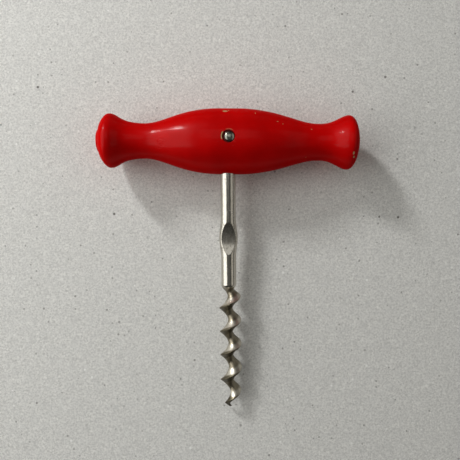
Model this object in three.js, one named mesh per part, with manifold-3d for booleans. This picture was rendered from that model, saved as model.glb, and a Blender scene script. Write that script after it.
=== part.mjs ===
// Plain T-handle corkscrew: a turned wooden handle, a steel shank forged in one piece
// with its worm, and the pin that crosses both. It lies as it does on a table: the
// belly of the handle and the last full turn of the worm touch the surface at z = 0.
// Millimetres, +Z up.

import * as THREE from 'three';
import { mergeVertices } from 'three/addons/utils/BufferGeometryUtils.js';
import Module from 'manifold-3d';

// ---------------------------------------------------------------- driving dimensions

// Handle, turned about its long axis. Each pair is the distance from the left end and
// the radius there; a smooth curve runs through them. The left end keeps the small boss
// that the lathe centre held. The middle of the belly is a plain cylinder.
const HANDLE_LENGTH = 100;
const BELLY_RADIUS = 12.5;
const END_FACE_RADIUS = 3;
const HANDLE_OUTLINE = [
  [0, END_FACE_RADIUS],
  [0.4, 4.4],
  [1.1, 5.3],
  [1.7, 6.65],
  [2.6, 8.6],
  [4.1, 10.1],
  [6.3, 10.1],
  [9.0, 8.55],
  [12.0, 7.4],
  [15.6, 6.9],
  [19.6, 6.75],
  [24.8, 8.0],
  [30.8, 10.05],
  [36.8, 11.5],
  [43.2, 12.35],
  [50.3, 12.6],
  [57.4, 12.4],
  [64.0, 11.6],
  [70.0, 10.3],
  [76.0, 8.55],
  [81.0, 7.35],
  [85.4, 7.0],
  [89.2, 7.6],
  [92.4, 9.0],
  [95.0, 10.15],
  [97.0, 10.0],
  [98.4, 8.4],
  [99.3, 6.1],
  [99.8, 4.3],
  [HANDLE_LENGTH, END_FACE_RADIUS],
];
const HANDLE_SIDES = 40;
const OUTLINE_STEPS = 48;

// Shank and worm. Stations are distances from the handle's axis towards the tip. The
// rod stands a little out of square with the handle, as these hand-fitted ones do.
const SHANK_X = 50.05;
const SHANK_LEAN = THREE.MathUtils.degToRad(0.88);
const ROD_RADIUS = 2.95;
const TANG_REACH = 7.5;
const TANG_CHAMFER = 0.6;
const PLAIN_ROD_RING = 20;
const WORM_START = 55.6;
const WORM_END = 106.2;
const WORM_RADIUS = 4.25;
const CORE_RADIUS = 0.9;
const PITCH = 9.53;
const EDGE_WIDTH = 0.45;
const FLANK_POWER = 2;
const FIRST_RIGHT_CREST = 60.46;
const RUN_OUT = 3.2;
const CREST_GROWTH = 5.5;
const TIP_LENGTH = 9.2;
const TIP_OFFSET = 1.6;
const TIP_SHRINK = 0.24;
const SHANK_SIDES = 24;
const WORM_RINGS = 104;

// The worm was formed a little to one side of the rod's line, and its last turns open
// out: each lag is [from station, to station, length by which the turns fall behind].
const WORM_SHIFT = 0.37;
const WORM_SHIFT_LENGTH = 5;
const WORM_LEAN = THREE.MathUtils.degToRad(0.5);
const EARLY_LAG = [86, 94, 0.6];
const LATE_LAG = [98, 104, 0.4];

// The pinch: round dies squeezed the rod front and back and spread it sideways.
const PINCH_STATION = 37.3;
const PINCH_LENGTH = 12.3;
const PINCH_HALF_THICKNESS = 1.85;
const PINCH_SPREAD = 0.68;
const PINCH_SPREAD_LENGTH = 7.5;

// Cross pin. Its hole was drilled a little askew of the shank's square.
const PIN_LEAN_BACK = THREE.MathUtils.degToRad(3.1);
const PIN_LEAN_RIGHT = THREE.MathUtils.degToRad(3.4);
const PIN_RADIUS = 1.3;
const HEAD_RADIUS = 1.85;
const HEAD_HEIGHT = 0.86;
const HEAD_RIM = 0.34;
const PEENED_RADIUS = 1.7;
const PEENED_HEIGHT = 0.5;
const PIN_SIDES = 20;
const SEAT_RADIUS = 2.7;
const FRONT_SEAT_DEPTH = 0.5;
const BACK_SEAT_DEPTH = 1.1;

// Clearance between pieces that touch.
const GAP = 0.3;

// How it lies: the belly and the lowest full-size crest of the worm share one plane.
const RESTING_TURN = 3.75;
const RESTING_CREST = FIRST_RIGHT_CREST + RESTING_TURN * PITCH + EARLY_LAG[2];
const REST_TILT = Math.asin((BELLY_RADIUS - WORM_RADIUS) / RESTING_CREST);

// ---------------------------------------------------------------- materials

const redPaint = new THREE.MeshStandardMaterial({ color: 0xb80c0c, roughness: 0.22, metalness: 0 });
const platedSteel = new THREE.MeshStandardMaterial({ color: 0xb9b3a2, roughness: 0.3, metalness: 1 });
const pinSteel = new THREE.MeshStandardMaterial({ color: 0xa7a396, roughness: 0.28, metalness: 1 });

// ---------------------------------------------------------------- solids

const manifoldLibrary = await Module();
manifoldLibrary.setup();

function toSolid(geometry) {
  const bare = geometry.clone();
  bare.deleteAttribute('normal');
  bare.deleteAttribute('uv');
  const merged = mergeVertices(bare, 1e-5);
  const mesh = new manifoldLibrary.Mesh({
    numProp: 3,
    vertProperties: new Float32Array(merged.attributes.position.array),
    triVerts: new Uint32Array(merged.index.array),
  });
  return new manifoldLibrary.Manifold(mesh);
}

function toGeometry(solid) {
  const mesh = solid.getMesh();
  const geometry = new THREE.BufferGeometry();
  geometry.setAttribute('position', new THREE.BufferAttribute(mesh.vertProperties, 3));
  geometry.setIndex(new THREE.BufferAttribute(mesh.triVerts, 1));
  geometry.computeVertexNormals();
  return geometry;
}

function cutAway(geometry, tools) {
  let solid = toSolid(geometry);
  for (const tool of tools) {
    solid = solid.subtract(toSolid(tool));
  }
  return toGeometry(solid);
}

// Revolves [height, radius] pairs, which start and end on the axis, about +Z.
function turned(pairs, sides) {
  const outline = pairs.map(([height, radius]) => new THREE.Vector2(radius, height));
  return new THREE.LatheGeometry(outline, sides).rotateX(Math.PI / 2);
}

function leanWithPin(geometry) {
  return geometry.rotateX(-PIN_LEAN_BACK).rotateY(PIN_LEAN_RIGHT);
}

function drillAlongPin(radius, bottom, top) {
  const drill = new THREE.CylinderGeometry(radius, radius, top - bottom, PIN_SIDES);
  return leanWithPin(drill.rotateX(Math.PI / 2).translate(0, 0, (bottom + top) / 2));
}

// ---------------------------------------------------------------- handle

// The handle's own frame: its axis is X and the shank's axis crosses it at the origin.
function makeHandle() {
  const knots = HANDLE_OUTLINE.map(([along, radius]) => new THREE.Vector2(along - SHANK_X, radius));
  const curve = new THREE.SplineCurve(knots).getPoints(OUTLINE_STEPS);
  const left = knots[0].x;
  const right = knots[knots.length - 1].x;
  const pairs = curve.map((point) => [point.x, Math.min(point.y, BELLY_RADIUS)]);
  const body = turned([[left, 0], ...pairs, [right, 0]], HANDLE_SIDES).rotateY(Math.PI / 2);

  const boreRadius = ROD_RADIUS + GAP;
  const boreTop = TANG_REACH + GAP;
  const bore = new THREE.CylinderGeometry(boreRadius, boreRadius, BELLY_RADIUS + 1 + boreTop, SHANK_SIDES);
  bore.translate(0, (boreTop - BELLY_RADIUS - 1) / 2, 0).rotateZ(SHANK_LEAN);

  const reach = BELLY_RADIUS + 1;
  const crossHole = drillAlongPin(PIN_RADIUS + GAP, -reach, reach);
  const frontSeat = drillAlongPin(SEAT_RADIUS, BELLY_RADIUS - FRONT_SEAT_DEPTH, reach);
  const backSeat = drillAlongPin(SEAT_RADIUS, -reach, BACK_SEAT_DEPTH - BELLY_RADIUS);
  return cutAway(body, [bore, crossHole, frontSeat, backSeat]);
}

// ---------------------------------------------------------------- shank and worm

function smoothStep(from, to, value) {
  return THREE.MathUtils.smoothstep(value, from, to);
}

// Radius of the worm's section at an angle from the crest of its blade.
function bladeRadius(angleFromCrest, crest, core) {
  const halfEdge = (EDGE_WIDTH / PITCH) * Math.PI;
  const folded = Math.abs(THREE.MathUtils.euclideanModulo(angleFromCrest + Math.PI, 2 * Math.PI) - Math.PI);
  const away = Math.max(folded - halfEdge, 0) / (Math.PI - halfEdge);
  return core + (crest - core) * (1 - away) ** FLANK_POWER;
}

// Stations of the rings along the shank, from the tang's end to the worm's tip.
function ringStations() {
  const stations = [-TANG_REACH, TANG_CHAMFER - TANG_REACH, PLAIN_ROD_RING];
  const spreadStart = PINCH_STATION - PINCH_SPREAD_LENGTH;
  const spreadRings = 10;
  for (let i = 0; i <= spreadRings; i++) {
    stations.push(spreadStart + (2 * PINCH_SPREAD_LENGTH * i) / spreadRings);
  }
  for (let i = 0; i <= WORM_RINGS; i++) {
    stations.push(THREE.MathUtils.lerp(WORM_START, WORM_END, i / WORM_RINGS));
  }
  return stations;
}

// A point of the round rod, spread sideways where the dies pinched it.
function rodPoint(station, angle) {
  const fromPinch = Math.abs(station - PINCH_STATION) / PINCH_SPREAD_LENGTH;
  const spread = PINCH_SPREAD * (1 - smoothStep(0, 1, fromPinch));
  const chamfer = Math.max(0, TANG_CHAMFER - TANG_REACH - station);
  const radius = ROD_RADIUS - chamfer;
  return [(radius + spread) * Math.cos(angle), radius * Math.sin(angle)];
}

// Direction of the blade's crest at a station, turning from +X towards +Z: right-handed.
function crestTurn(station) {
  let lag = 0;
  for (const [from, to, length] of [EARLY_LAG, LATE_LAG]) {
    lag += length * smoothStep(from, to, station);
  }
  return (2 * Math.PI * (station - lag - FIRST_RIGHT_CREST)) / PITCH;
}

// How far the worm's axis stands to the right of the rod's.
function wormOffset(station) {
  const along = station - WORM_START;
  return WORM_SHIFT * smoothStep(0, WORM_SHIFT_LENGTH, along) + along * Math.tan(WORM_LEAN);
}

// A point of the bladed worm at an angle from its crest.
function wormPoint(station, angle) {
  const along = station - WORM_START;
  const crest = THREE.MathUtils.lerp(ROD_RADIUS, WORM_RADIUS, smoothStep(0, CREST_GROWTH, along));
  const core = THREE.MathUtils.lerp(ROD_RADIUS, CORE_RADIUS, smoothStep(0, RUN_OUT, along));
  const toTip = (WORM_END - station) / TIP_LENGTH;
  const scale = Math.min(1, THREE.MathUtils.lerp(TIP_SHRINK, 1, toTip));
  const radius = bladeRadius(angle, crest, core);
  const towardsCrest = TIP_OFFSET + scale * (radius * Math.cos(angle) - TIP_OFFSET);
  const across = scale * radius * Math.sin(angle);
  const turn = crestTurn(station);
  return [
    towardsCrest * Math.cos(turn) - across * Math.sin(turn) + wormOffset(station),
    towardsCrest * Math.sin(turn) + across * Math.cos(turn),
  ];
}

function shankPoint(station, angle) {
  if (station < WORM_START) {
    return rodPoint(station, angle + crestTurn(WORM_START));
  }
  return wormPoint(station, angle);
}

// Shapes a plain cylinder, ring by ring, into the rod and its worm.
function makeShankAndWorm() {
  const stations = ringStations();
  const rings = stations.length - 1;
  const blank = new THREE.CylinderGeometry(1, 1, 1, SHANK_SIDES, rings);
  const position = blank.attributes.position;
  for (let i = 0; i < position.count; i++) {
    const station = stations[Math.round((0.5 - position.getY(i)) * rings)];
    const angle = Math.atan2(position.getZ(i), position.getX(i));
    const [x, z] = shankPoint(station, angle);
    const [oppositeX, oppositeZ] = shankPoint(station, angle + Math.PI);
    const isCapCentre = Math.hypot(position.getX(i), position.getZ(i)) < 0.5;
    const placeX = isCapCentre ? (x + oppositeX) / 2 : x;
    const placeZ = isCapCentre ? (z + oppositeZ) / 2 : z;
    position.setXYZ(i, placeX, -station, placeZ);
  }

  const sagitta = ROD_RADIUS - PINCH_HALF_THICKNESS;
  const dieRadius = ((PINCH_LENGTH / 2) ** 2 + sagitta ** 2) / (2 * sagitta);
  const dieSides = 96;
  const dieLength = 12;
  const dies = [1, -1].map((side) => {
    const die = new THREE.CylinderGeometry(dieRadius, dieRadius, dieLength, dieSides).rotateZ(Math.PI / 2);
    return die.translate(0, -PINCH_STATION, side * (PINCH_HALF_THICKNESS + dieRadius));
  });
  const crossHole = drillAlongPin(PIN_RADIUS + GAP, -2 * ROD_RADIUS, 2 * ROD_RADIUS);
  return cutAway(blank, [...dies, crossHole]);
}

// ---------------------------------------------------------------- cross pin

function makeCrossPin() {
  const headBase = BELLY_RADIUS - FRONT_SEAT_DEPTH + GAP;
  const backBase = -(BELLY_RADIUS - BACK_SEAT_DEPTH + GAP);
  const quarter = Math.PI / 2;
  const domeSteps = 6;
  const pairs = [];
  for (let i = 0; i <= domeSteps; i++) {
    const angle = (quarter * i) / domeSteps;
    pairs.push([backBase - PEENED_HEIGHT * Math.cos(angle), PEENED_RADIUS * Math.sin(angle)]);
  }
  pairs.push([backBase, PIN_RADIUS], [headBase, PIN_RADIUS], [headBase, HEAD_RADIUS]);
  const cap = HEAD_HEIGHT - HEAD_RIM;
  const capRadius = (HEAD_RADIUS ** 2 + cap ** 2) / (2 * cap);
  for (let i = 0; i <= domeSteps; i++) {
    const radius = HEAD_RADIUS * (1 - i / domeSteps);
    const drop = capRadius - Math.sqrt(capRadius ** 2 - radius ** 2);
    pairs.push([headBase + HEAD_HEIGHT - drop, radius]);
  }
  pairs[0][1] = 0;
  pairs[pairs.length - 1][1] = 0;
  return leanWithPin(turned(pairs, PIN_SIDES));
}

// ---------------------------------------------------------------- assembly

function namedMesh(name, geometry, material) {
  const mesh = new THREE.Mesh(geometry, material);
  mesh.name = name;
  return mesh;
}

const handle = namedMesh('handle', makeHandle(), redPaint);
const shankAndWorm = namedMesh('shank_and_worm', makeShankAndWorm(), platedSteel);
const crossPin = namedMesh('cross_pin', makeCrossPin(), pinSteel);
shankAndWorm.rotation.z = SHANK_LEAN;

const lying = new THREE.Group();
lying.add(handle, shankAndWorm, crossPin);
lying.rotation.x = REST_TILT;

const group = new THREE.Group();
group.add(lying);
group.updateMatrixWorld(true);

// The origin is the middle of the footprint, on the surface it lies on.
const bounds = new THREE.Box3().setFromObject(group, true);
const middle = bounds.getCenter(new THREE.Vector3());
lying.position.set(-middle.x, -middle.y, -bounds.min.z);

export default group;
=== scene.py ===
"""Looks of a plain T-handle corkscrew lying on a sheet of paper: a turned and painted
wooden handle, a plated steel shank forged in one piece with its worm, and a cross pin.

Sizes are millimetres in the object's own frame, whose origin is where the shank's axis
crosses the handle's: x runs along the handle, the shank goes towards -y and the pin's
head looks along +z. A station is a distance from the handle's axis towards the tip.
"""

import math

import bpy
import numpy as np
from mathutils import Matrix, Vector, noise


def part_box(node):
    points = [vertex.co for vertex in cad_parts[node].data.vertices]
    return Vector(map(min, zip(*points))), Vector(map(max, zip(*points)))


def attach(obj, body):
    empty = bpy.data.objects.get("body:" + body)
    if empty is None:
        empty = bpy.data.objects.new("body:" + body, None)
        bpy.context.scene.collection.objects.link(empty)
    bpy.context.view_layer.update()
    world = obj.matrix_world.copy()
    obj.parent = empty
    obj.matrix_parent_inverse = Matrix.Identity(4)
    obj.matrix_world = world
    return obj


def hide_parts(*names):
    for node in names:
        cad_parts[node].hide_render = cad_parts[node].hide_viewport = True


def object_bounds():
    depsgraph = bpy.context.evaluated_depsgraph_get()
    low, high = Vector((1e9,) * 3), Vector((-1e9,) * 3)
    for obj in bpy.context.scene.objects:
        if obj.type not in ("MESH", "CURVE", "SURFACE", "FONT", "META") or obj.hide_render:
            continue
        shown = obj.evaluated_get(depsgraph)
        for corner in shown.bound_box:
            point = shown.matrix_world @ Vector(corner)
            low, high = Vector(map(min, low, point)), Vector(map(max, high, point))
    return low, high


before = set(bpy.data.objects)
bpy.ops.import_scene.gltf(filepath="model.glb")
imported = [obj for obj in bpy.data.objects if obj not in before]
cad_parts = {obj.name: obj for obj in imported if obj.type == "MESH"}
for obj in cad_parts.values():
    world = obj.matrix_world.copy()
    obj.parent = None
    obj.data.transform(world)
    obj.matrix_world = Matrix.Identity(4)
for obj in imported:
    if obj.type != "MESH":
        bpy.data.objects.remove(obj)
cad_low, cad_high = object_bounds()

# ---------------------------------------------------------------- sizes

# The handle's outline: distances from its left end, and the radius there.
HANDLE_LENGTH = 100.0
SHANK_X = 50.05
HANDLE_OUTLINE = [
    (0.0, 3.0),
    (0.14, 3.9),
    (0.45, 4.5),
    (0.95, 4.95),
    (1.12, 5.6),
    (1.4, 6.5),
    (1.75, 7.35),
    (2.35, 8.35),
    (3.15, 9.35),
    (4.2, 10.15),
    (5.2, 10.3),
    (6.5, 10.0),
    (9.0, 8.6),
    (12.0, 7.42),
    (15.6, 6.82),
    (19.6, 6.78),
    (24.8, 7.95),
    (30.8, 9.95),
    (36.8, 11.5),
    (43.2, 12.35),
    (50.3, 12.62),
    (57.4, 12.4),
    (64.0, 11.6),
    (70.0, 10.3),
    (76.0, 8.6),
    (81.0, 7.35),
    (85.4, 7.0),
    (89.2, 7.55),
    (92.4, 8.95),
    (94.8, 10.05),
    (96.4, 10.3),
    (97.6, 9.7),
    (98.5, 8.4),
    (99.3, 6.3),
    (99.8, 4.4),
    (HANDLE_LENGTH, 3.0),
]

# Rod and worm.
SHANK_LEAN = math.radians(0.88)
ROD_RADIUS = 2.95
TANG_REACH = 7.5
TANG_CHAMFER = 0.6
WORM_START = 55.6
WORM_END = 106.2
WORM_RADIUS = 4.25
CORE_RADIUS = 0.9
PITCH = 9.53
EDGE_WIDTH = 0.45
FLANK_POWER = 2.0
FIRST_RIGHT_CREST = 60.46
RESTING_TURN = 3.75
RUN_OUT = 3.2
CREST_GROWTH = 5.5
TIP_LENGTH = 9.2
TIP_OFFSET = 1.6
TIP_SHRINK = 0.24
WORM_SHIFT = 0.37
WORM_SHIFT_LENGTH = 5.0
WORM_LEAN = math.radians(0.5)
# Each lag: from a station, to a station, the length by which the turns fall behind.
EARLY_LAG = (86.0, 94.0, 0.6)
LATE_LAG = (98.0, 104.0, 0.4)

# The pinch: round dies squeezed the rod front and back and spread it sideways.
PINCH_STATION = 37.3
PINCH_LENGTH = 12.3
PINCH_HALF_THICKNESS = 1.85
PINCH_SPREAD = 0.68
PINCH_SPREAD_LENGTH = 7.5
PINCH_EDGE = 0.16

# Cross pin, its holes and the seats round its ends.
PIN_LEAN_BACK = math.radians(3.1)
PIN_LEAN_RIGHT = math.radians(3.4)
PIN_RADIUS = 1.3
PIN_HOLE_RADIUS = 1.42
HEAD_RADIUS = 1.85
HEAD_HEIGHT = 0.86
HEAD_RIM = 0.34
HEAD_EDGE = 0.06
PEENED_RADIUS = 1.7
PEENED_HEIGHT = 0.5
SEAT_RADIUS = 2.62
SEAT_WALL = 0.5
SEAT_CENTRE = Vector((-0.36, 0.12))
FRONT_SEAT_DEPTH = 0.62
BACK_SEAT_DEPTH = 1.1
SEAT_GAP = 0.1
BORE_RADIUS = 3.12

# ---------------------------------------------------------------- place in the frame

handle_low, handle_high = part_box("handle")
mm = (handle_high.x - handle_low.x) / HANDLE_LENGTH
BELLY_RADIUS = (handle_high.z - handle_low.z) / 2 / mm
resting_crest = FIRST_RIGHT_CREST + RESTING_TURN * PITCH + EARLY_LAG[2]
rest_tilt = math.asin((BELLY_RADIUS - WORM_RADIUS) / resting_crest)
crossing = Vector(
    (
        handle_low.x + SHANK_X * mm,
        (handle_low.y + handle_high.y) / 2,
        (handle_low.z + handle_high.z) / 2,
    )
)
placed = Matrix.Translation(crossing) @ Matrix.Rotation(rest_tilt, 4, "X")
pin_turn = Matrix.Rotation(PIN_LEAN_RIGHT, 3, "Y") @ Matrix.Rotation(-PIN_LEAN_BACK, 3, "X")
pin_axis = pin_turn @ Vector((0, 0, 1))
pin_right = pin_turn @ Vector((1, 0, 0))
pin_back = pin_turn @ Vector((0, 1, 0))


def smooth_step(start, end, value):
    t = min(1.0, max(0.0, (value - start) / (end - start)))
    return t * t * (3 - 2 * t)


def mix(a, b, t):
    return a + (b - a) * t


def soft_min(a, b, blend):
    """The smaller of two numbers, rounded off where they are within blend of each other."""
    overlap = max(blend - abs(a - b), 0.0) / blend
    return min(a, b) - overlap * overlap * blend / 4


# ---------------------------------------------------------------- meshes


def ringed_mesh(name, rings, start_centre, end_centre):
    """A closed skin over rings of points, in mm, with a fan to a point at each end."""
    count = len(rings[0])
    points = [p for ring in rings for p in ring] + [start_centre, end_centre]
    faces = []
    for i in range(len(rings) - 1):
        for j in range(count):
            a, b = i * count + j, i * count + (j + 1) % count
            faces.append((a, a + count, b + count, b))
    first, last = len(points) - 2, len(points) - 1
    for j in range(count):
        k = (j + 1) % count
        faces.append((first, j, k))
        faces.append((last, (len(rings) - 1) * count + k, (len(rings) - 1) * count + j))
    mesh = bpy.data.meshes.new(name)
    mesh.from_pydata([tuple(Vector(p) * mm) for p in points], [], faces)
    mesh.update()
    return mesh


def add_piece(name, mesh, material, sharp_angle):
    mesh.shade_smooth()
    mesh.set_sharp_from_angle(angle=math.radians(sharp_angle))
    mesh.materials.clear()
    mesh.materials.append(material)
    mesh.transform(placed)
    piece = bpy.data.objects.new(name, mesh)
    bpy.context.scene.collection.objects.link(piece)
    return piece


def cut(mesh, cutters):
    """The mesh less the cutters, which are meshes in the same frame."""
    scene = bpy.context.scene.collection
    body = bpy.data.objects.new("body_to_cut", mesh)
    scene.objects.link(body)
    tools = []
    for cutter in cutters:
        tool = bpy.data.objects.new("cutter", cutter)
        scene.objects.link(tool)
        tools.append(tool)
        step = body.modifiers.new("cut", "BOOLEAN")
        step.operation = "DIFFERENCE"
        step.solver = "EXACT"
        step.object = tool
    graph = bpy.context.evaluated_depsgraph_get()
    result = bpy.data.meshes.new_from_object(body.evaluated_get(graph))
    result.name = mesh.name
    for thing in (body, *tools):
        bpy.data.objects.remove(thing)
    return result


def rod_mesh(name, start, end, radius, sides, turn):
    """A plain round rod along z from start to end, turned by a 3x3 matrix: a drill."""
    angles = [math.tau * j / sides for j in reversed(range(sides))]
    flat = [(radius * math.cos(angle), radius * math.sin(angle)) for angle in angles]
    rings = [[turn @ Vector((x, y, height)) for x, y in flat] for height in (start, end)]
    return ringed_mesh(name, rings, turn @ Vector((0, 0, start)), turn @ Vector((0, 0, end)))


def curve_through(knots, spacing):
    """Points about spacing apart on the smooth curve through the knots."""
    knots = np.array(knots, float)
    chord = np.concatenate([[0], np.cumsum(np.linalg.norm(np.diff(knots, axis=0), axis=1) ** 0.75)])
    n = len(knots)
    step = np.diff(chord)
    system = np.zeros((n, n))
    right = np.zeros((n, 2))
    system[0, 0] = system[-1, -1] = 1
    for i in range(1, n - 1):
        system[i, i - 1 : i + 2] = step[i - 1], 2 * (step[i - 1] + step[i]), step[i]
        slopes = (knots[i + 1] - knots[i]) / step[i] - (knots[i] - knots[i - 1]) / step[i - 1]
        right[i] = 6 * slopes
    bend = np.linalg.solve(system, right)
    fine = np.linspace(0, chord[-1], 6000)
    k = np.clip(np.searchsorted(chord, fine, side="right") - 1, 0, n - 2)
    h = step[k][:, None]
    a = ((chord[k + 1] - fine) / step[k])[:, None]
    b = 1 - a
    line = a * knots[k] + b * knots[k + 1]
    line += ((a**3 - a) * bend[k] + (b**3 - b) * bend[k + 1]) * h * h / 6
    length = np.concatenate([[0], np.cumsum(np.linalg.norm(np.diff(line, axis=0), axis=1))])
    steps = spacing_steps(line, length, spacing)
    return np.stack([np.interp(steps, length, line[:, 0]), np.interp(steps, length, line[:, 1])], 1)


def spacing_steps(line, length, spacing):
    """Distances along the line whose gaps follow spacing(along)."""
    steps = [0.0]
    while steps[-1] < length[-1]:
        along = float(np.interp(steps[-1], length, line[:, 0]))
        steps.append(steps[-1] + spacing(along))
    return np.array(steps) * (length[-1] / steps[-1])


# ---------------------------------------------------------------- handle shape

FINE_SPACING = 0.13
COARSE_SPACING = 0.45
END_SPACING = 0.14
SEAT_REACH = 3.6


def outline_spacing(along):
    if abs(along - SHANK_X) < SEAT_REACH + 1:
        return FINE_SPACING
    if along < 6.5 or along > 95:
        return END_SPACING
    return COARSE_SPACING


def handle_angles():
    """Angles round the handle from its top, closer together at the pin's two ends."""
    dense = math.degrees(SEAT_REACH / BELLY_RADIUS)
    angles = []
    angle = -180.0
    while angle < 179.9:
        angles.append(angle)
        if abs(angle) < dense + 3:
            angle += 0.6
        elif abs(angle) > 180 - dense:
            angle += 1.2
        else:
            angle += 2.4
    return [math.radians(a) for a in angles]


def seat_height(distance, floor):
    """Height of the seat's surface along the pin at a distance from the seat's middle."""
    wall = smooth_step(SEAT_RADIUS - SEAT_WALL, SEAT_RADIUS, distance)
    return floor + wall * (BELLY_RADIUS + 0.35 - floor) + max(0.0, distance - SEAT_RADIUS) * 4


def with_seats(point):
    """Sinks a point of the belly's surface into the seats round the pin's ends."""
    height = point.dot(pin_axis)
    flat = Vector((point.dot(pin_right), point.dot(pin_back)))
    if height > 0:
        distance = (flat - SEAT_CENTRE).length
        limit = seat_height(distance, BELLY_RADIUS - FRONT_SEAT_DEPTH)
    else:
        distance = flat.length
        limit = seat_height(distance, BELLY_RADIUS - BACK_SEAT_DEPTH)
    if distance > SEAT_REACH + 1:
        return point
    depth = abs(height) - soft_min(abs(height), limit, 0.12)
    return point - pin_axis * math.copysign(depth, height)


def handle_mesh():
    angles = handle_angles()
    outline = curve_through(HANDLE_OUTLINE, outline_spacing)
    rings = []
    for share in (0.35, 0.7):
        rings.append(ring_of_handle(outline[0][0], outline[0][1] * share, angles))
    for along, radius in outline:
        rings.append(ring_of_handle(along, radius, angles))
    for share in (0.7, 0.35):
        rings.append(ring_of_handle(outline[-1][0], outline[-1][1] * share, angles))
    left = Vector((outline[0][0] - SHANK_X, 0, 0))
    right = Vector((outline[-1][0] - SHANK_X, 0, 0))
    mesh = ringed_mesh("handle_body", rings, left, right)
    lean = Matrix.Rotation(SHANK_LEAN, 3, "Z") @ Matrix.Rotation(math.radians(90), 3, "X")
    bore = rod_mesh("bore", -TANG_REACH - 0.4, BELLY_RADIUS + 1, BORE_RADIUS, 72, lean)
    reach = BELLY_RADIUS + 1
    hole = rod_mesh("pin_hole", -reach, reach, PIN_HOLE_RADIUS, 48, pin_turn)
    return cut(mesh, [bore, hole])


def ring_of_handle(along, radius, angles):
    """A ring of the handle: nearly round, as a hand-painted turning is."""
    ring = []
    for angle in angles:
        place = Vector((along * 0.09, math.sin(angle) * 1.1, math.cos(angle) * 1.1))
        uneven = 0.035 * noise.noise(place * 1.3) * min(1.0, radius / 6)
        r = soft_min(radius, BELLY_RADIUS + 0.01, 0.12) + uneven * (1 - smooth_step(11, 12.2, radius))
        ring.append(with_seats(Vector((along - SHANK_X, r * math.sin(angle), r * math.cos(angle)))))
    return ring


# ---------------------------------------------------------------- shank and worm shape

SHANK_SIDES = 144


def crest_turn(station):
    """Direction of the blade's crest, turning from +x towards +z: a right-handed worm."""
    lag = sum(by * smooth_step(start, end, station) for start, end, by in (EARLY_LAG, LATE_LAG))
    return math.tau * (station - lag - FIRST_RIGHT_CREST) / PITCH


def worm_offset(station):
    """How far the worm's axis stands to the right of the rod's."""
    along = station - WORM_START
    return WORM_SHIFT * smooth_step(0, WORM_SHIFT_LENGTH, along) + along * math.tan(WORM_LEAN)


def rod_point(station, angle):
    """A point of the rod, pinched front and back by round dies and spread sideways."""
    spread = PINCH_SPREAD * (1 - smooth_step(0, PINCH_SPREAD_LENGTH, abs(station - PINCH_STATION)))
    radius = ROD_RADIUS - max(0.0, TANG_CHAMFER - TANG_REACH - station)
    x = (radius + spread) * math.cos(angle)
    z = radius * math.sin(angle)
    sagitta = ROD_RADIUS - PINCH_HALF_THICKNESS
    die = ((PINCH_LENGTH / 2) ** 2 + sagitta**2) / (2 * sagitta)
    off = abs(station - PINCH_STATION)
    if off < die * 0.8:
        limit = PINCH_HALF_THICKNESS + die - math.sqrt(die * die - off * off)
        z = math.copysign(soft_min(abs(z), limit, PINCH_EDGE), z)
    return x, z


def blade_radius(angle_from_crest, crest, core):
    half_edge = EDGE_WIDTH / PITCH * math.pi
    folded = abs((angle_from_crest + math.pi) % math.tau - math.pi)
    away = max(folded - half_edge, 0) / (math.pi - half_edge)
    return core + (crest - core) * (1 - away) ** FLANK_POWER


def worm_point(station, angle):
    """A point of the bladed worm at an angle from its crest."""
    along = station - WORM_START
    crest = mix(ROD_RADIUS, WORM_RADIUS, smooth_step(0, CREST_GROWTH, along))
    core = mix(ROD_RADIUS, CORE_RADIUS, smooth_step(0, RUN_OUT, along))
    scale = min(1.0, mix(TIP_SHRINK, 1, (WORM_END - station) / TIP_LENGTH))
    radius = blade_radius(angle, crest, core)
    x = TIP_OFFSET + scale * (radius * math.cos(angle) - TIP_OFFSET)
    z = scale * radius * math.sin(angle)
    turn = crest_turn(station)
    right = x * math.cos(turn) - z * math.sin(turn) + worm_offset(station)
    return right, x * math.sin(turn) + z * math.cos(turn)


def shank_stations():
    stations = [-TANG_REACH, TANG_CHAMFER - TANG_REACH, 0.0, 5.0]
    station = 9.0
    while station < WORM_END:
        stations.append(station)
        if abs(station - PINCH_STATION) < PINCH_LENGTH / 2 + 0.6:
            station += 0.1
        elif station < WORM_START - 1.5:
            station += 0.6
        elif station < WORM_END - TIP_LENGTH:
            station += 0.11
        else:
            station += 0.08
    return stations + [WORM_END]


def shank_mesh():
    rings = []
    for station in shank_stations():
        ring = []
        for j in range(SHANK_SIDES):
            angle = -math.tau * j / SHANK_SIDES
            if station < WORM_START:
                x, z = rod_point(station, angle + crest_turn(WORM_START))
            else:
                x, z = worm_point(station, angle)
            ring.append(lean_shank(Vector((x, -station, z))))
        rings.append(ring)
    tip = sum((p for p in rings[-1]), Vector()) / SHANK_SIDES
    top = lean_shank(Vector((0, TANG_REACH, 0)))
    mesh = ringed_mesh("shank_body", rings, top, tip)
    reach = 2 * ROD_RADIUS
    hole = rod_mesh("pin_hole", -reach, reach, PIN_HOLE_RADIUS, 48, pin_turn)
    return cut(mesh, [hole])


def lean_shank(point):
    return Matrix.Rotation(SHANK_LEAN, 3, "Z") @ point


# ---------------------------------------------------------------- pin shape

PIN_SIDES = 96
PIN_DENT_SPACING = 1.6
PIN_DENT_DEPTH = 0.012


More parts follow.
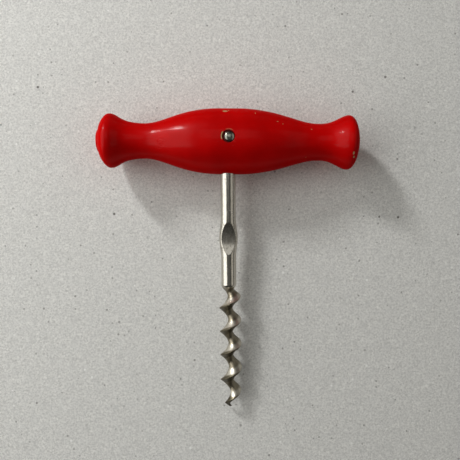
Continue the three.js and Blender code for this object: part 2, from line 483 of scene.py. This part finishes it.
def pin_outline():
    """Heights and radii of the pin, from the peened end up over the domed head."""
    head_base = BELLY_RADIUS - FRONT_SEAT_DEPTH + SEAT_GAP
    back_base = BACK_SEAT_DEPTH - BELLY_RADIUS - SEAT_GAP
    pairs = []
    steps = 14
    for i in range(1, steps + 1):
        angle = math.pi / 2 * i / steps
        pairs.append((back_base - PEENED_HEIGHT * math.cos(angle), PEENED_RADIUS * math.sin(angle)))
    pairs += [(back_base + 0.04, PEENED_RADIUS - 0.04), (back_base + 0.04, PIN_RADIUS)]
    pairs += [(head_base, PIN_RADIUS), (head_base, HEAD_RADIUS - 0.05)]
    pairs.append((head_base + 0.04, HEAD_RADIUS - 0.01))
    cap = HEAD_HEIGHT - HEAD_RIM
    cap_radius = (HEAD_RADIUS**2 + cap**2) / (2 * cap)
    for i in range(steps):
        radius = HEAD_RADIUS * (1 - i / steps)
        drop = cap_radius - math.sqrt(cap_radius**2 - radius**2)
        edge = HEAD_EDGE * smooth_step(HEAD_RADIUS - 2 * HEAD_EDGE, HEAD_RADIUS, radius)
        pairs.append((head_base + HEAD_HEIGHT - drop - edge, radius))
    return pairs, back_base - PEENED_HEIGHT, head_base + HEAD_HEIGHT


def pin_mesh():
    pairs, bottom, top = pin_outline()
    rings = []
    for height, radius in pairs:
        ring = []
        for j in range(PIN_SIDES):
            angle = -math.tau * j / PIN_SIDES
            out = Vector((math.cos(angle), math.sin(angle), 0))
            place = Vector((out.x * PIN_DENT_SPACING, out.y * PIN_DENT_SPACING, height))
            dented = radius * (1 + PIN_DENT_DEPTH * noise.noise(place))
            ring.append(pin_turn @ (out * dented + Vector((0, 0, height))))
        rings.append(ring)
    start, end = pin_turn @ Vector((0, 0, bottom)), pin_turn @ Vector((0, 0, top))
    return ringed_mesh("pin_body", rings, start, end)


# ---------------------------------------------------------------- materials


class Shader:
    """A material's nodes, with short calls for the ones used here. Places are in mm."""

    def __init__(self, name):
        self.material = bpy.data.materials.new(name)
        self.material.use_nodes = True
        self.nodes = self.material.node_tree.nodes
        self.links = self.material.node_tree.links
        self.surface = self.nodes["Principled BSDF"]
        own_frame = self.nodes.new("ShaderNodeMapping")
        own_frame.vector_type = "TEXTURE"
        own_frame.inputs["Location"].default_value = crossing
        own_frame.inputs["Rotation"].default_value = (rest_tilt, 0, 0)
        own_frame.inputs["Scale"].default_value = (mm, mm, mm)
        coordinates = self.nodes.new("ShaderNodeTexCoord")
        self.links.new(coordinates.outputs["Object"], own_frame.inputs["Vector"])
        self.place = own_frame.outputs["Vector"]

    def put(self, value, socket):
        """Links a socket, or sets a plain value."""
        if isinstance(value, bpy.types.NodeSocket):
            self.links.new(value, socket)
        elif value is not None:
            socket.default_value = value

    def set(self, **inputs):
        for name, value in inputs.items():
            if name in ("Base_Color",) and not isinstance(value, bpy.types.NodeSocket):
                value = (*value, 1)
            self.put(value, self.surface.inputs[name.replace("_", " ")])

    def math(self, operation, a, b=None, c=None, clamp=False):
        node = self.nodes.new("ShaderNodeMath")
        node.operation = operation
        node.use_clamp = clamp
        for value, socket in zip((a, b, c), node.inputs):
            self.put(value, socket)
        return node.outputs[0]

    def vector(self, operation, a, b=None):
        node = self.nodes.new("ShaderNodeVectorMath")
        node.operation = operation
        self.put(a, node.inputs[0])
        self.put(b, node.inputs[1])
        return node.outputs["Value" if operation in ("LENGTH", "DISTANCE", "DOT_PRODUCT") else "Vector"]

    def split(self, vector):
        node = self.nodes.new("ShaderNodeSeparateXYZ")
        self.put(vector, node.inputs[0])
        return node.outputs

    def noise(self, place, size, detail=3.0, roughness=0.5, distortion=0.0):
        """Cloudy noise whose features are about size mm across."""
        node = self.nodes.new("ShaderNodeTexNoise")
        self.put(place, node.inputs["Vector"])
        node.inputs["Scale"].default_value = 1 / size
        node.inputs["Detail"].default_value = detail
        node.inputs["Roughness"].default_value = roughness
        node.inputs["Distortion"].default_value = distortion
        return node.outputs["Fac"]

    def cells(self, place, size):
        """Scattered points, one in each cell of about size mm."""
        node = self.nodes.new("ShaderNodeTexVoronoi")
        self.put(place, node.inputs["Vector"])
        node.inputs["Scale"].default_value = 1 / size
        return node

    def ramp(self, value, low, high, start=0.0, end=1.0):
        """A smooth step from start to end as the value goes from low to high."""
        node = self.nodes.new("ShaderNodeMapRange")
        node.interpolation_type = "SMOOTHSTEP"
        for v, socket in zip((value, low, high, start, end), node.inputs):
            self.put(v, socket)
        return node.outputs["Result"]

    def blend(self, share, a, b):
        """A mix of two colours."""
        node = self.nodes.new("ShaderNodeMix")
        node.data_type = "RGBA"
        self.put(share, node.inputs["Factor"])
        for value, socket in ((a, node.inputs["A"]), (b, node.inputs["B"])):
            colour_sockets = [s for s in node.inputs if s.type == "RGBA"]
            target = colour_sockets[0] if value is a and socket.name == "A" else colour_sockets[1]
            self.put(value if isinstance(value, bpy.types.NodeSocket) else (*value, 1), target)
        return [s for s in node.outputs if s.type == "RGBA"][0]

    def bump(self, height, depth, normal=None):
        """Relief whose full height is depth mm."""
        node = self.nodes.new("ShaderNodeBump")
        node.inputs["Strength"].default_value = 1.0
        node.inputs["Distance"].default_value = depth * mm
        self.put(height, node.inputs["Height"])
        self.put(normal, node.inputs["Normal"])
        return node.outputs["Normal"]

    def stretched(self, sizes):
        """The place divided by a size along each axis, for noise of size 1."""
        return self.vector("DIVIDE", self.place, sizes)

    def most(self, masks):
        """The largest of some masks."""
        top = masks[0]
        for mask in masks[1:]:
            top = self.math("MAXIMUM", top, mask)
        return top


def on_handle(along, degrees, radius):
    """A point of the handle's surface, by its angle from the top towards +y."""
    angle = math.radians(degrees)
    return Vector((along - SHANK_X, radius * math.sin(angle), radius * math.cos(angle)))


PAINT_CHIPS = [
    (on_handle(49.0, 57.0, 12.45), (1.15, 0.7, 0.7)),
    (on_handle(50.3, 60.0, 12.45), (0.35, 0.3, 0.3)),
    (on_handle(96.4, -27.0, 10.2), (0.42, 0.75, 0.6)),
    (on_handle(96.7, -36.0, 10.1), (0.5, 0.55, 0.55)),
    (on_handle(60.2, 53.0, 12.1), (0.14, 0.75, 0.75)),
    (on_handle(68.4, 38.0, 10.75), (0.5, 0.16, 0.2)),
    (on_handle(70.3, 34.0, 10.3), (0.16, 0.3, 0.3)),
    (on_handle(81.3, 35.0, 7.3), (0.25, 0.2, 0.2)),
    (on_handle(79.6, -52.0, 7.7), (0.14, 0.3, 0.3)),
]


def paint_material():
    """Glossy red enamel over pale wood, with chips, a bruised seat and faint dust."""
    s = Shader("red_enamel")
    cloud = s.noise(s.place, 9.0, 3.0)
    fine = s.noise(s.place, 0.35, 4.0, 0.6)

    masks = []
    ragged = s.math("MULTIPLY_ADD", s.noise(s.place, 0.45, 3.0, 0.6), 0.9, -0.45)
    for centre, size in PAINT_CHIPS:
        away = s.vector("DIVIDE", s.vector("SUBTRACT", s.place, centre), size)
        reach = s.math("ADD", s.vector("LENGTH", away), ragged)
        masks.append(s.ramp(reach, 0.92, 0.72))
    chips = s.most(masks)

    seat = pin_turn @ Vector((SEAT_CENTRE.x, SEAT_CENTRE.y, BELLY_RADIUS - 0.1))
    from_seat = s.vector("SUBTRACT", s.place, seat)
    across = s.vector("MULTIPLY", from_seat, (1, 1, 0))
    distance = s.math("ADD", s.vector("LENGTH", across), s.math("MULTIPLY", ragged, 0.25))
    outside_gap = s.ramp(distance, SEAT_RADIUS - 0.35, SEAT_RADIUS - 0.2)
    inside_rim = s.ramp(distance, SEAT_RADIUS + 0.3, SEAT_RADIUS + 0.12)
    ring = s.math("MULTIPLY", outside_gap, inside_rim)
    side = s.vector("DOT_PRODUCT", s.vector("NORMALIZE", across), (-0.99, 0.12, 0))
    top_side = s.vector("DOT_PRODUCT", s.vector("NORMALIZE", across), (0.1, 0.99, 0))
    faint_top = s.math("MULTIPLY", s.ramp(top_side, 0.8, 0.95), 0.2)
    facing = s.math("MAXIMUM", s.ramp(side, 0.8, 0.93), faint_top)
    near_top = s.ramp(s.split(s.place)[2], 9.0, 10.0)
    bare_seat = s.math("MULTIPLY", s.math("MULTIPLY", ring, facing), near_top)
    bare = s.math("MAXIMUM", chips, bare_seat)
    gap_shade = s.math("MULTIPLY", s.ramp(distance, SEAT_RADIUS - 0.1, SEAT_RADIUS - 0.5), near_top)

    dust_cells = s.cells(s.place, 0.9)
    specks = s.ramp(dust_cells.outputs["Distance"], 0.17, 0.08)
    dust = s.math("MULTIPLY", specks, s.ramp(s.noise(s.place, 2.2, 2.0), 0.56, 0.7))
    round_pin = s.math("MULTIPLY", s.ramp(s.vector("LENGTH", across), 5.5, 3.4), near_top)
    dust = s.math("MULTIPLY", dust, s.math("MULTIPLY_ADD", round_pin, 0.5, 0.12))

    grain_place = s.vector("DIVIDE", s.place, (6.0, 0.5, 0.5))
    grain = s.noise(grain_place, 1.0, 3.0, 0.6)
    wood = s.blend(grain, (0.36, 0.19, 0.08), (0.62, 0.42, 0.22))
    red = s.blend(s.ramp(cloud, 0.3, 0.7), (0.46, 0.0, 0.0), (0.54, 0.0, 0.0))
    red = s.blend(s.math("MULTIPLY", s.ramp(fine, 0.55, 0.8), 0.15), red, (0.34, 0.0, 0.0))
    dusty = s.blend(s.math("MULTIPLY", dust, 0.5), red, (0.55, 0.30, 0.27))
    chipped = s.blend(bare, dusty, wood)
    colour = s.blend(s.math("MULTIPLY", gap_shade, 0.8), chipped, (0.02, 0.012, 0.01))

    smudge = s.noise(s.vector("DIVIDE", s.place, (2.6, 1.2, 1.2)), 1.6, 4.0, 0.55)
    rough = s.ramp(smudge, 0.35, 0.75, 0.38, 0.48)
    rough = s.math("ADD", rough, s.math("MULTIPLY", bare, 0.45))
    rough = s.math("ADD", rough, s.math("MULTIPLY", dust, 0.3), clamp=True)
    peel = s.noise(s.place, 2.4, 2.0, 0.45)
    brushed = s.noise(s.vector("DIVIDE", s.place, (0.8, 9.0, 9.0)), 1.0, 3.0, 0.55)
    relief = s.math("MULTIPLY_ADD", brushed, 0.22, s.math("MULTIPLY", peel, 0.6))
    relief = s.math("ADD", relief, sag_ripples(s))
    normal = s.bump(relief, 0.035)
    normal = s.bump(s.math("MULTIPLY_ADD", fine, 0.12, s.math("MULTIPLY", bare, -1.0)), 0.12, normal)
    s.set(Base_Color=colour, Roughness=rough, Normal=normal)

    # The gloss fades towards grazing angles, where this paint stays deep red.
    coat_rough = s.ramp(smudge, 0.35, 0.75, 0.08, 0.2)
    edge = s.nodes.new("ShaderNodeLayerWeight")
    edge.inputs["Blend"].default_value = 0.5
    shown = s.ramp(edge.outputs["Facing"], 0.12, 0.5, 1.0, 0.05)
    gloss = s.math("MULTIPLY", shown, s.math("SUBTRACT", 1.0, bare))
    s.set(Coat_Weight=s.math("MULTIPLY", gloss, 0.13), Coat_Roughness=coat_rough, Coat_Normal=normal)
    s.set(Specular_IOR_Level=s.math("MULTIPLY", shown, 0.12))
    s.surface.inputs["Specular Tint"].default_value = (1.0, 0.4, 0.42, 1)
    return s.material


def sag_ripples(s):
    """Small ripples where the paint ran, left of the belly."""
    centre = on_handle(25.4, -8.0, 8.1)
    away = s.vector("DISTANCE", s.place, centre)
    wobble = s.math("MULTIPLY_ADD", s.noise(s.place, 1.4, 2.0), 2.4, away)
    waves = s.math("SINE", s.math("MULTIPLY", wobble, 4.6))
    return s.math("MULTIPLY", waves, s.ramp(away, 3.4, 1.0, 0.0, 1.3))


def steel_material():
    """Worn nickel plate: drawn along the rod, tarnished, pitted and dark in the root. The blade's flank
    on the tip's side is darkened, partly as tarnished steel and partly as painted shade. Its crest is
    brightened, partly as steel polished by wear and partly as a painted highlight.
    """
    s = Shader("worn_nickel")
    x, y, z = s.split(s.place)
    drawn = s.noise(s.stretched((0.22, 7.0, 0.22)), 1.0, 4.0, 0.62)
    cloud = s.noise(s.stretched((1.3, 3.6, 1.3)), 1.0, 4.0, 0.6, 0.4)
    grime = s.noise(s.stretched((0.8, 1.4, 0.8)), 1.0, 5.0, 0.65, 0.6)
    radial = s.math("SQRT", s.math("ADD", s.math("POWER", x, 2.0), s.math("POWER", z, 2.0)))
    in_worm = s.ramp(y, -WORM_START, -WORM_START - 3.0)
    root = s.math("MULTIPLY", s.ramp(radial, 3.4, 1.2), in_worm)
    from_pinch = s.math("ABSOLUTE", s.math("ADD", y, PINCH_STATION))
    pinch_length = s.ramp(from_pinch, PINCH_LENGTH * 0.5, PINCH_LENGTH * 0.4)
    in_pinch = s.math("MULTIPLY", pinch_length, s.ramp(s.math("ABSOLUTE", z), 2.85, 2.5))
    near_tip = s.ramp(y, 4.4 - WORM_END, 2.2 - WORM_END)

    # The angle round the worm from the crest of its blade, negative on the tip's side.
    lags = [s.math("MULTIPLY", s.ramp(y, -start, -end), by) for start, end, by in (EARLY_LAG, LATE_LAG)]
    followed = s.math("ADD", s.math("ADD", y, FIRST_RIGHT_CREST), s.math("ADD", *lags))
    turned = s.math("MULTIPLY", followed, math.tau / PITCH)
    from_crest = s.math("WRAP", s.math("ADD", s.math("ARCTAN2", z, x), turned), math.pi, -math.pi)
    # Mask for the blade's flank on the tip's side, darkened below partly as tarnished steel and partly
    # as painted shade.
    tip_flank = s.math("MULTIPLY", s.ramp(from_crest, 0.0, -0.35), s.ramp(from_crest, -2.6, -1.9))
    # Mask for the blade's crest, brightened below partly as worn steel and partly as a painted
    # highlight.
    worn_and_highlit_edge = s.math("MULTIPLY", s.ramp(from_crest, -0.15, 0.05), s.ramp(from_crest, 0.95, 0.45))

    stain = s.ramp(grime, 0.52, 0.74)
    stain = s.math("MULTIPLY", stain, s.math("MULTIPLY_ADD", root, 0.55, 0.3))
    stain = s.math("ADD", stain, s.math("MULTIPLY", in_pinch, s.ramp(grime, 0.45, 0.7, 0.05, 0.5)))
    stain = s.math("ADD", stain, s.math("MULTIPLY", root, 0.22))
    stain = s.math("ADD", stain, s.math("MULTIPLY", near_tip, 0.75), clamp=True)
    bright = s.blend(s.ramp(cloud, 0.3, 0.7), (0.60, 0.57, 0.50), (0.70, 0.67, 0.60))
    streaked = s.blend(s.ramp(drawn, 0.5, 0.75, 0.0, 0.4), bright, (0.44, 0.40, 0.33))
    streaked = s.blend(s.math("MULTIPLY", in_worm, 0.85), streaked, (0.23, 0.195, 0.13))
    # The tip-side flank darkened: partly tarnished steel, partly painted shade.
    tarnish_and_painted_shade = s.math("MULTIPLY", s.math("MULTIPLY", tip_flank, in_worm), 0.72)
    streaked = s.blend(tarnish_and_painted_shade, streaked, (0.07, 0.06, 0.035))
    # The crest brightened: partly steel polished by wear, partly a painted highlight.
    polish_and_painted_highlight = s.math("MULTIPLY", s.math("MULTIPLY", worn_and_highlit_edge, in_worm), 0.85)
    streaked = s.blend(polish_and_painted_highlight, streaked, (0.78, 0.74, 0.64))
    colour = s.blend(stain, streaked, (0.115, 0.095, 0.07))

    pits = s.cells(s.stretched((0.6, 0.8, 0.6)), 1.0)
    pitted_areas = s.ramp(s.noise(s.place, 2.4, 2.0), 0.5, 0.65)
    pit = s.math("MULTIPLY", s.ramp(pits.outputs["Distance"], 0.2, 0.06), pitted_areas)
    colour = s.blend(s.math("MULTIPLY", pit, 0.7), colour, (0.07, 0.055, 0.04))
    rough = s.ramp(cloud, 0.25, 0.75, 0.17, 0.25)
    rough = s.math("ADD", rough, s.math("MULTIPLY", stain, 0.25))
    rough = s.math("ADD", rough, s.math("MULTIPLY", in_worm, 0.17), clamp=True)
    uneven = s.math("MULTIPLY", cloud, s.math("MULTIPLY_ADD", in_worm, 0.8, 0.15))
    normal = s.bump(s.math("MULTIPLY_ADD", drawn, 0.35, uneven), 0.012)
    worked = s.math("MAXIMUM", in_worm, in_pinch)
    dents = s.math("MULTIPLY", grime, s.math("MULTIPLY_ADD", worked, 0.35, 0.05))
    normal = s.bump(s.math("MULTIPLY_ADD", pit, -0.6, dents), 0.03, normal)
    s.set(Base_Color=colour, Metallic=1.0, Roughness=rough, Normal=normal)
    return s.material


def pin_material():
    """The pin's steel, polished by handling, with painted shade darkening its head towards the edge."""
    s = Shader("pin_steel")
    cloud = s.noise(s.place, 0.8, 4.0, 0.6)
    centre = pin_turn @ Vector((0, 0, BELLY_RADIUS + 0.3))
    across = s.vector("MULTIPLY", s.vector("SUBTRACT", s.place, centre), (1, 1, 0))
    # Painted shade: the head darkens towards its edge, where it meets the seat.
    painted_rim_shade = s.ramp(s.vector("LENGTH", across), HEAD_RADIUS - 0.55, HEAD_RADIUS - 0.08)
    bright = s.blend(s.ramp(cloud, 0.3, 0.7), (0.30, 0.31, 0.26), (0.42, 0.42, 0.36))
    colour = s.blend(s.math("MULTIPLY", painted_rim_shade, 0.75), bright, (0.07, 0.065, 0.05))
    scratches = s.noise(s.vector("DIVIDE", s.place, (0.5, 0.05, 0.5)), 1.0, 3.0, 0.6)
    rough = s.ramp(cloud, 0.3, 0.75, 0.16, 0.3)
    normal = s.bump(s.math("MULTIPLY_ADD", scratches, 0.3, cloud), 0.02)
    s.set(Base_Color=colour, Metallic=1.0, Roughness=rough, Normal=normal)
    return s.material


# Spacing and largest radius of the flecks in mm, a shift, the share that shows, a tone.
FLECKS = [
    (2.6, 0.45, 0.0, 0.75, (0.30, 0.29, 0.27)),
    (6.5, 0.55, 13.0, 0.7, (0.09, 0.08, 0.07)),
    (2.9, 0.5, 29.0, 0.6, (0.95, 0.95, 0.92)),
]


def paper_material():
    """Recycled grey paper: cloudy fibres with scattered dark and pale flecks."""
    s = Shader("grey_paper")
    cloud = s.noise(s.place, 3.2, 4.0, 0.6)
    fibre = s.noise(s.place, 0.75, 3.0, 0.75, 0.5)
    base = s.blend(s.ramp(fibre, 0.3, 0.7), (0.57, 0.565, 0.54), (0.92, 0.915, 0.875))
    base = s.blend(s.ramp(cloud, 0.3, 0.7, 0.0, 0.3), base, (0.66, 0.66, 0.64))
    for spacing, radius, shift, share, tone in FLECKS:
        cells = s.cells(s.vector("ADD", s.place, (shift, shift * 0.7, 0.0)), spacing)
        kind = s.split(cells.outputs["Color"])
        reach = s.math("MULTIPLY", kind[0], radius / spacing)
        spot = s.ramp(s.math("SUBTRACT", cells.outputs["Distance"], reach), 0.03, -0.02)
        strength = s.math("MULTIPLY", spot, s.ramp(kind[1], 1 - share, 1.0, 0.0, 0.95))
        base = s.blend(strength, base, tone)
    normal = s.bump(s.math("MULTIPLY_ADD", fibre, 0.6, cloud), 0.05)
    s.set(Base_Color=base, Roughness=0.85, Normal=normal)
    s.surface.inputs["Specular IOR Level"].default_value = 0.2
    return s.material


# ---------------------------------------------------------------- pieces

handle = add_piece("painted_handle", handle_mesh(), paint_material(), 50)
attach(handle, "root")
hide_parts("handle")

shank = add_piece("plated_shank_and_worm", shank_mesh(), steel_material(), 60)
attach(shank, "root")
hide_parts("shank_and_worm")

pin = add_piece("steel_cross_pin", pin_mesh(), pin_material(), 50)
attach(pin, "root")
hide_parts("cross_pin")

# ---------------------------------------------------------------- floor, light, camera

FLOOR_SIZE = 3000 * mm
floor_mesh = bpy.data.meshes.new("floor")
half = FLOOR_SIZE / 2
corners = [(-half, -half, 0), (half, -half, 0), (half, half, 0), (-half, half, 0)]
floor_mesh.from_pydata(corners, [], [(0, 1, 2, 3)])
floor_mesh.materials.append(paper_material())
floor = bpy.data.objects.new("floor", floor_mesh)
bpy.context.scene.collection.objects.link(floor)
floor.location.z = cad_low.z - 0.02 * mm

target = Vector(((handle_low.x + handle_high.x) / 2, crossing.y, crossing.z))


def add_light(name, azimuth, height, distance, size, radiance, colour):
    """A rectangular soft light facing the handle, sized in mm. Its azimuth is measured from
    +x towards +y and its height from the floor, both in degrees."""
    around, above = math.radians(azimuth), math.radians(height)
    flat = math.cos(above)
    direction = Vector((flat * math.cos(around), flat * math.sin(around), math.sin(above)))
    data = bpy.data.lights.new(name, "AREA")
    data.shape = "RECTANGLE"
    data.size, data.size_y = (side * mm for side in size)
    data.energy = 4 * data.size * data.size_y * radiance
    data.color = colour
    light = bpy.data.objects.new(name, data)
    bpy.context.scene.collection.objects.link(light)
    light.location = target + direction * distance * mm
    light.rotation_mode = "QUATERNION"
    light.rotation_quaternion = direction.to_track_quat("Z", "Y")
    return light


# A small bright window, the bright side of the room, its dim far side and its ceiling.
add_light("window", 132, 30, 700, (66, 130), 64.0, (1.0, 1.0, 1.0))
add_light("bright_side", 177, 33, 560, (700, 620), 1.42, (1.0, 1.0, 0.98))
add_light("far_side", 6, 33, 900, (1150, 560), 0.33, (1.0, 0.96, 0.89))
add_light("ceiling", 92, 74, 900, (600, 470), 0.5, (1.0, 0.99, 0.96))
add_light("above", 270, 82, 1000, (700, 500), 0.06, (1.0, 0.99, 0.96))

world = bpy.data.worlds.new("room")
bpy.context.scene.world = world
world.use_nodes = True
world.node_tree.nodes["Background"].inputs["Color"].default_value = (0.045, 0.045, 0.042, 1)

CAMERA_OFFSET = Vector((1.2, -34.02, 177.4))
CAMERA_ROLL = math.radians(0.43)
camera_data = bpy.data.cameras.new("camera")
camera_data.lens = 36
camera_data.sensor_width = 36
camera_data.clip_start = 0.001
camera_data.clip_end = 10
camera = bpy.data.objects.new("camera", camera_data)
bpy.context.scene.collection.objects.link(camera)
camera.location = target + CAMERA_OFFSET * mm
camera.rotation_euler = (0, 0, CAMERA_ROLL)
bpy.context.scene.camera = camera
bpy.context.scene.view_settings.view_transform = "Standard"
